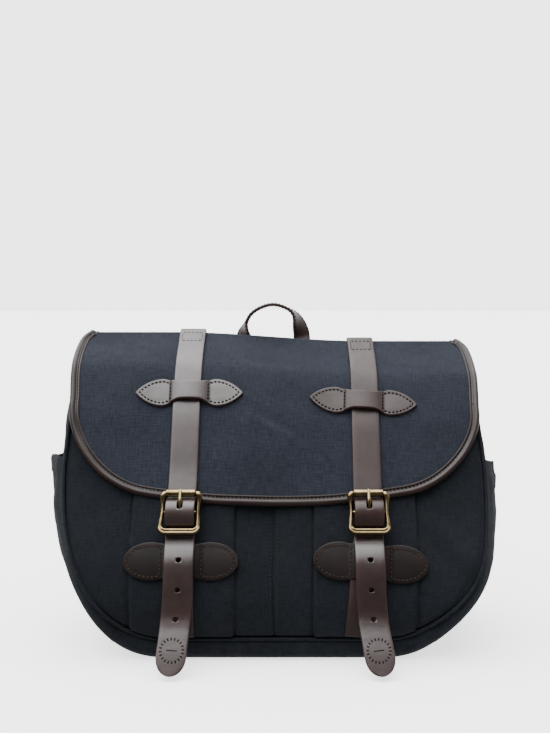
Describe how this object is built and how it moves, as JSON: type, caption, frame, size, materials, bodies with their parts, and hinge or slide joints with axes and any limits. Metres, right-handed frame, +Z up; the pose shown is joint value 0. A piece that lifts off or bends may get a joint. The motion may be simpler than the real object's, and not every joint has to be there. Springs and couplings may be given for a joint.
{
  "type": "messenger bag",
  "caption": "Canvas messenger bag with a sloping flap closed by two buckled leather straps, pleated front pockets, end pockets and a top handle.",
  "frame": {"origin": "on the ground, below the middle of the whole bag's box", "axes": "+X to the right seen from the front, -Y towards the front with the straps, +Z up"},
  "size_m": [0.4254, 0.2018, 0.3084],
  "materials": {
    "canvas": "matte heavy cotton twill, charcoal blue-grey",
    "lining": "plain woven cotton",
    "leather": "dark brown waxed hide, semi-matt",
    "antique_brass": "cast and tumbled, darkened in the hollows"
  },
  "bodies": {
    "root": {"front_panel": "canvas", "back_panel": "canvas", "gusset": "canvas", "mouth_hem": "canvas", "front_piping": "canvas", "back_piping": "canvas", "rear_pocket": "canvas", "inner_pocket": "lining", "front_pocket_left": "canvas", "front_pocket_right": "canvas", "end_pocket_left": "canvas", "end_pocket_right": "canvas", "anchor_strap_left": "leather", "anchor_strap_right": "leather", "lower_patch_left": "leather", "lower_patch_right": "leather", "handle_patch_left": "leather", "handle_patch_right": "leather", "ring_tab_left": "leather", "ring_tab_right": "leather"},
    "flap": {"flap_panel": "canvas", "flap_binding": "leather", "closing_strap_left": "leather", "closing_strap_right": "leather", "keeper_left": "leather", "keeper_right": "leather"},
    "handle": {"handle_grip": "leather"},
    "buckle_left": {"buckle_frame_left": "antique_brass"},
    "roller_left": {"buckle_roller_left": "antique_brass"},
    "prong_left": {"buckle_prong_left": "antique_brass"},
    "tail_left": {"strap_tail_left": "leather"},
    "ring_left": {"strap_ring_left": "antique_brass"},
    "buckle_right": {"buckle_frame_right": "antique_brass"},
    "roller_right": {"buckle_roller_right": "antique_brass"},
    "prong_right": {"buckle_prong_right": "antique_brass"},
    "tail_right": {"strap_tail_right": "leather"},
    "ring_right": {"strap_ring_right": "antique_brass"}
  },
  "joints": [
    {"name": "flap_lift", "type": "hinge", "parent": "root", "child": "flap", "pos_m": [0, 0.07837, 0.2755], "axis": [-1, 0, 0], "range_deg": [0, 105]},
    {"name": "handle_tilt", "type": "hinge", "parent": "root", "child": "handle", "pos_m": [0, 0.08327, 0.2625], "axis": [-1, 0, 0], "range_deg": [0, 55], "stiffness_Nm_per_rad": 0.12},
    {"name": "buckle_rock_left", "type": "hinge", "parent": "root", "child": "buckle_left", "pos_m": [-0.083, -0.05704, 0.12768], "axis": [1, 0, 0], "range_deg": [-3, 3]},
    {"name": "roller_spin_left", "type": "hinge", "parent": "buckle_left", "child": "roller_left", "pos_m": [-0.083, -0.04937, 0.14286], "axis": [1, 0, 0], "continuous": true},
    {"name": "prong_lift_left", "type": "hinge", "parent": "buckle_left", "child": "prong_left", "pos_m": [-0.083, -0.05704, 0.12768], "axis": [1, 0, 0], "range_deg": [0, 25]},
    {"name": "tail_swing_left", "type": "hinge", "parent": "flap", "child": "tail_left", "pos_m": [-0.083, -0.06278, 0.10655], "axis": [-1, 0, 0], "range_deg": [0, 50]},
    {"name": "ring_swing_left", "type": "hinge", "parent": "root", "child": "ring_left", "pos_m": [-0.158, 0.08537, 0.226], "axis": [1, 0, 0], "range_deg": [0, 110]},
    {"name": "buckle_rock_right", "type": "hinge", "parent": "root", "child": "buckle_right", "pos_m": [0.083, -0.05704, 0.12768], "axis": [1, 0, 0], "range_deg": [-3, 3]},
    {"name": "roller_spin_right", "type": "hinge", "parent": "buckle_right", "child": "roller_right", "pos_m": [0.083, -0.04937, 0.14286], "axis": [1, 0, 0], "continuous": true},
    {"name": "prong_lift_right", "type": "hinge", "parent": "buckle_right", "child": "prong_right", "pos_m": [0.083, -0.05704, 0.12768], "axis": [1, 0, 0], "range_deg": [0, 25]},
    {"name": "tail_swing_right", "type": "hinge", "parent": "flap", "child": "tail_right", "pos_m": [0.083, -0.06278, 0.10655], "axis": [-1, 0, 0], "range_deg": [0, 50]},
    {"name": "ring_swing_right", "type": "hinge", "parent": "root", "child": "ring_right", "pos_m": [0.158, 0.08537, 0.226], "axis": [1, 0, 0], "range_deg": [0, 110]}
  ]
}
